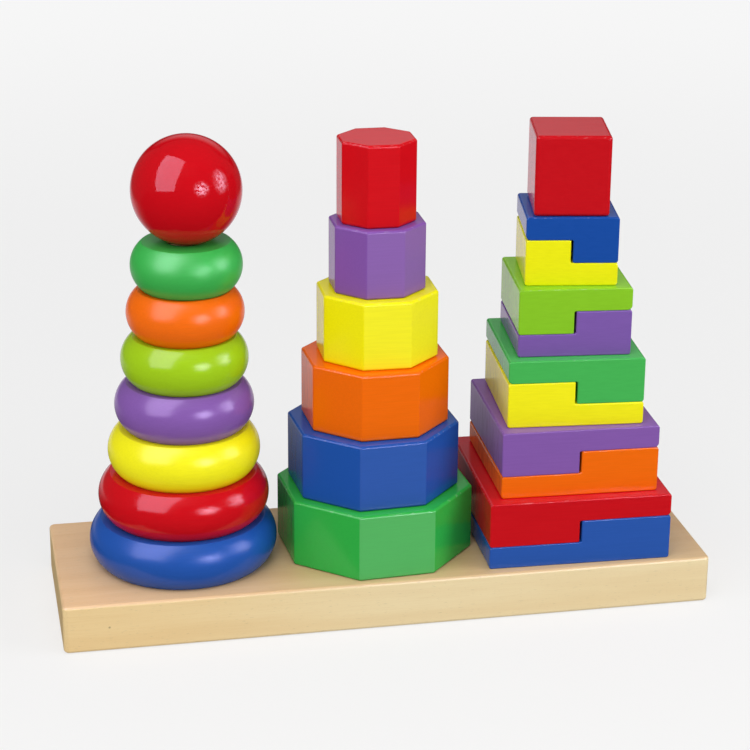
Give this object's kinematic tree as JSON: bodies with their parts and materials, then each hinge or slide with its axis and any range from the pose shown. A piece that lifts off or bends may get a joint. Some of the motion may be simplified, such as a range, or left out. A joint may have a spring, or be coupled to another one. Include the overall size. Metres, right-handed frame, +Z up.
{
  "type": "three-peg geometric stacking toy",
  "caption": "Wooden stacking toy: a board with upright pegs carrying rings and a ball, octagonal blocks, and square levels of interlocking stepped halves under a cube.",
  "frame": {"origin": "centre of the board's underside, on the surface the toy stands on", "axes": "+Z up along the pegs, +X along the board from the ring tower to the stepped tower, -Y is the front"},
  "size_m": [0.3, 0.094, 0.2226],
  "materials": {
    "board_wood": "pale hardwood under satin clear lacquer",
    "peg_wood": "pale hardwood, turned and sanded",
    "paint_red": "gloss red paint over wood grain",
    "paint_blue": "gloss blue paint over wood grain",
    "paint_yellow": "gloss yellow paint over wood grain",
    "paint_purple": "gloss purple paint over wood grain",
    "paint_lime": "gloss lime paint over wood grain",
    "paint_green": "gloss green paint over wood grain",
    "paint_orange": "gloss orange paint over wood grain"
  },
  "bodies": {
    "base": {"base_board": "board_wood", "left_peg": "peg_wood", "middle_peg": "peg_wood", "right_peg": "peg_wood"},
    "blue_ring": {"blue_ring": "paint_blue"},
    "red_ring": {"red_ring": "paint_red"},
    "yellow_ring": {"yellow_ring": "paint_yellow"},
    "purple_ring": {"purple_ring": "paint_purple"},
    "lime_ring": {"lime_ring": "paint_lime"},
    "orange_ring": {"orange_ring": "paint_orange"},
    "green_ring": {"green_ring": "paint_green"},
    "red_ball": {"red_ball": "paint_red"},
    "green_octagon": {"green_octagon": "paint_green"},
    "blue_octagon": {"blue_octagon": "paint_blue"},
    "orange_octagon": {"orange_octagon": "paint_orange"},
    "yellow_octagon": {"yellow_octagon": "paint_yellow"},
    "purple_octagon": {"purple_octagon": "paint_purple"},
    "red_octagon_cap": {"red_octagon_cap": "paint_red"},
    "blue_lower_step_1": {"blue_lower_step_1": "paint_blue"},
    "red_upper_step_1": {"red_upper_step_1": "paint_red"},
    "orange_lower_step_2": {"orange_lower_step_2": "paint_orange"},
    "purple_upper_step_2": {"purple_upper_step_2": "paint_purple"},
    "yellow_lower_step_3": {"yellow_lower_step_3": "paint_yellow"},
    "green_upper_step_3": {"green_upper_step_3": "paint_green"},
    "purple_lower_step_4": {"purple_lower_step_4": "paint_purple"},
    "lime_upper_step_4": {"lime_upper_step_4": "paint_lime"},
    "yellow_lower_step_5": {"yellow_lower_step_5": "paint_yellow"},
    "blue_upper_step_5": {"blue_upper_step_5": "paint_blue"},
    "red_cube": {"red_cube": "paint_red"}
  },
  "joints": [
    {"name": "lift_blue_ring", "type": "slide", "parent": "base", "child": "blue_ring", "axis": [0, 0, 1], "range_m": [0, 0.18]},
    {"name": "lift_red_ring", "type": "slide", "parent": "blue_ring", "child": "red_ring", "axis": [0, 0, 1], "range_m": [0, 0.1583]},
    {"name": "lift_yellow_ring", "type": "slide", "parent": "red_ring", "child": "yellow_ring", "axis": [0, 0, 1], "range_m": [0, 0.1365]},
    {"name": "lift_purple_ring", "type": "slide", "parent": "yellow_ring", "child": "purple_ring", "axis": [0, 0, 1], "range_m": [0, 0.1148]},
    {"name": "lift_lime_ring", "type": "slide", "parent": "purple_ring", "child": "lime_ring", "axis": [0, 0, 1], "range_m": [0, 0.093]},
    {"name": "lift_orange_ring", "type": "slide", "parent": "lime_ring", "child": "orange_ring", "axis": [0, 0, 1], "range_m": [0, 0.0712]},
    {"name": "lift_green_ring", "type": "slide", "parent": "orange_ring", "child": "green_ring", "axis": [0, 0, 1], "range_m": [0, 0.0495]},
    {"name": "lift_red_ball", "type": "slide", "parent": "green_ring", "child": "red_ball", "axis": [0, 0, 1], "range_m": [0, 0.0278]},
    {"name": "lift_green_octagon", "type": "slide", "parent": "base", "child": "green_octagon", "axis": [0, 0, 1], "range_m": [0, 0.18]},
    {"name": "lift_blue_octagon", "type": "slide", "parent": "green_octagon", "child": "blue_octagon", "axis": [0, 0, 1], "range_m": [0, 0.1484]},
    {"name": "lift_orange_octagon", "type": "slide", "parent": "blue_octagon", "child": "orange_octagon", "axis": [0, 0, 1], "range_m": [0, 0.1168]},
    {"name": "lift_yellow_octagon", "type": "slide", "parent": "orange_octagon", "child": "yellow_octagon", "axis": [0, 0, 1], "range_m": [0, 0.0852]},
    {"name": "lift_purple_octagon", "type": "slide", "parent": "yellow_octagon", "child": "purple_octagon", "axis": [0, 0, 1], "range_m": [0, 0.0536]},
    {"name": "lift_red_octagon_cap", "type": "slide", "parent": "purple_octagon", "child": "red_octagon_cap", "axis": [0, 0, 1], "range_m": [0, 0.022]},
    {"name": "lift_blue_lower_step_1", "type": "slide", "parent": "base", "child": "blue_lower_step_1", "axis": [0, 0, 1], "range_m": [0, 0.18]},
    {"name": "lift_red_upper_step_1", "type": "slide", "parent": "blue_lower_step_1", "child": "red_upper_step_1", "axis": [0, 0, 1], "range_m": [0, 0.1693]},
    {"name": "lift_orange_lower_step_2", "type": "slide", "parent": "red_upper_step_1", "child": "orange_lower_step_2", "axis": [0, 0, 1], "range_m": [0, 0.148]},
    {"name": "lift_purple_upper_step_2", "type": "slide", "parent": "orange_lower_step_2", "child": "purple_upper_step_2", "axis": [0, 0, 1], "range_m": [0, 0.1373]},
    {"name": "lift_yellow_lower_step_3", "type": "slide", "parent": "purple_upper_step_2", "child": "yellow_lower_step_3", "axis": [0, 0, 1], "range_m": [0, 0.116]},
    {"name": "lift_green_upper_step_3", "type": "slide", "parent": "yellow_lower_step_3", "child": "green_upper_step_3", "axis": [0, 0, 1], "range_m": [0, 0.1053]},
    {"name": "lift_purple_lower_step_4", "type": "slide", "parent": "green_upper_step_3", "child": "purple_lower_step_4", "axis": [0, 0, 1], "range_m": [0, 0.084]},
    {"name": "lift_lime_upper_step_4", "type": "slide", "parent": "purple_lower_step_4", "child": "lime_upper_step_4", "axis": [0, 0, 1], "range_m": [0, 0.0733]},
    {"name": "lift_yellow_lower_step_5", "type": "slide", "parent": "lime_upper_step_4", "child": "yellow_lower_step_5", "axis": [0, 0, 1], "range_m": [0, 0.052]},
    {"name": "lift_blue_upper_step_5", "type": "slide", "parent": "yellow_lower_step_5", "child": "blue_upper_step_5", "axis": [0, 0, 1], "range_m": [0, 0.0413]},
    {"name": "lift_red_cube", "type": "slide", "parent": "blue_upper_step_5", "child": "red_cube", "axis": [0, 0, 1], "range_m": [0, 0.02]}
  ]
}
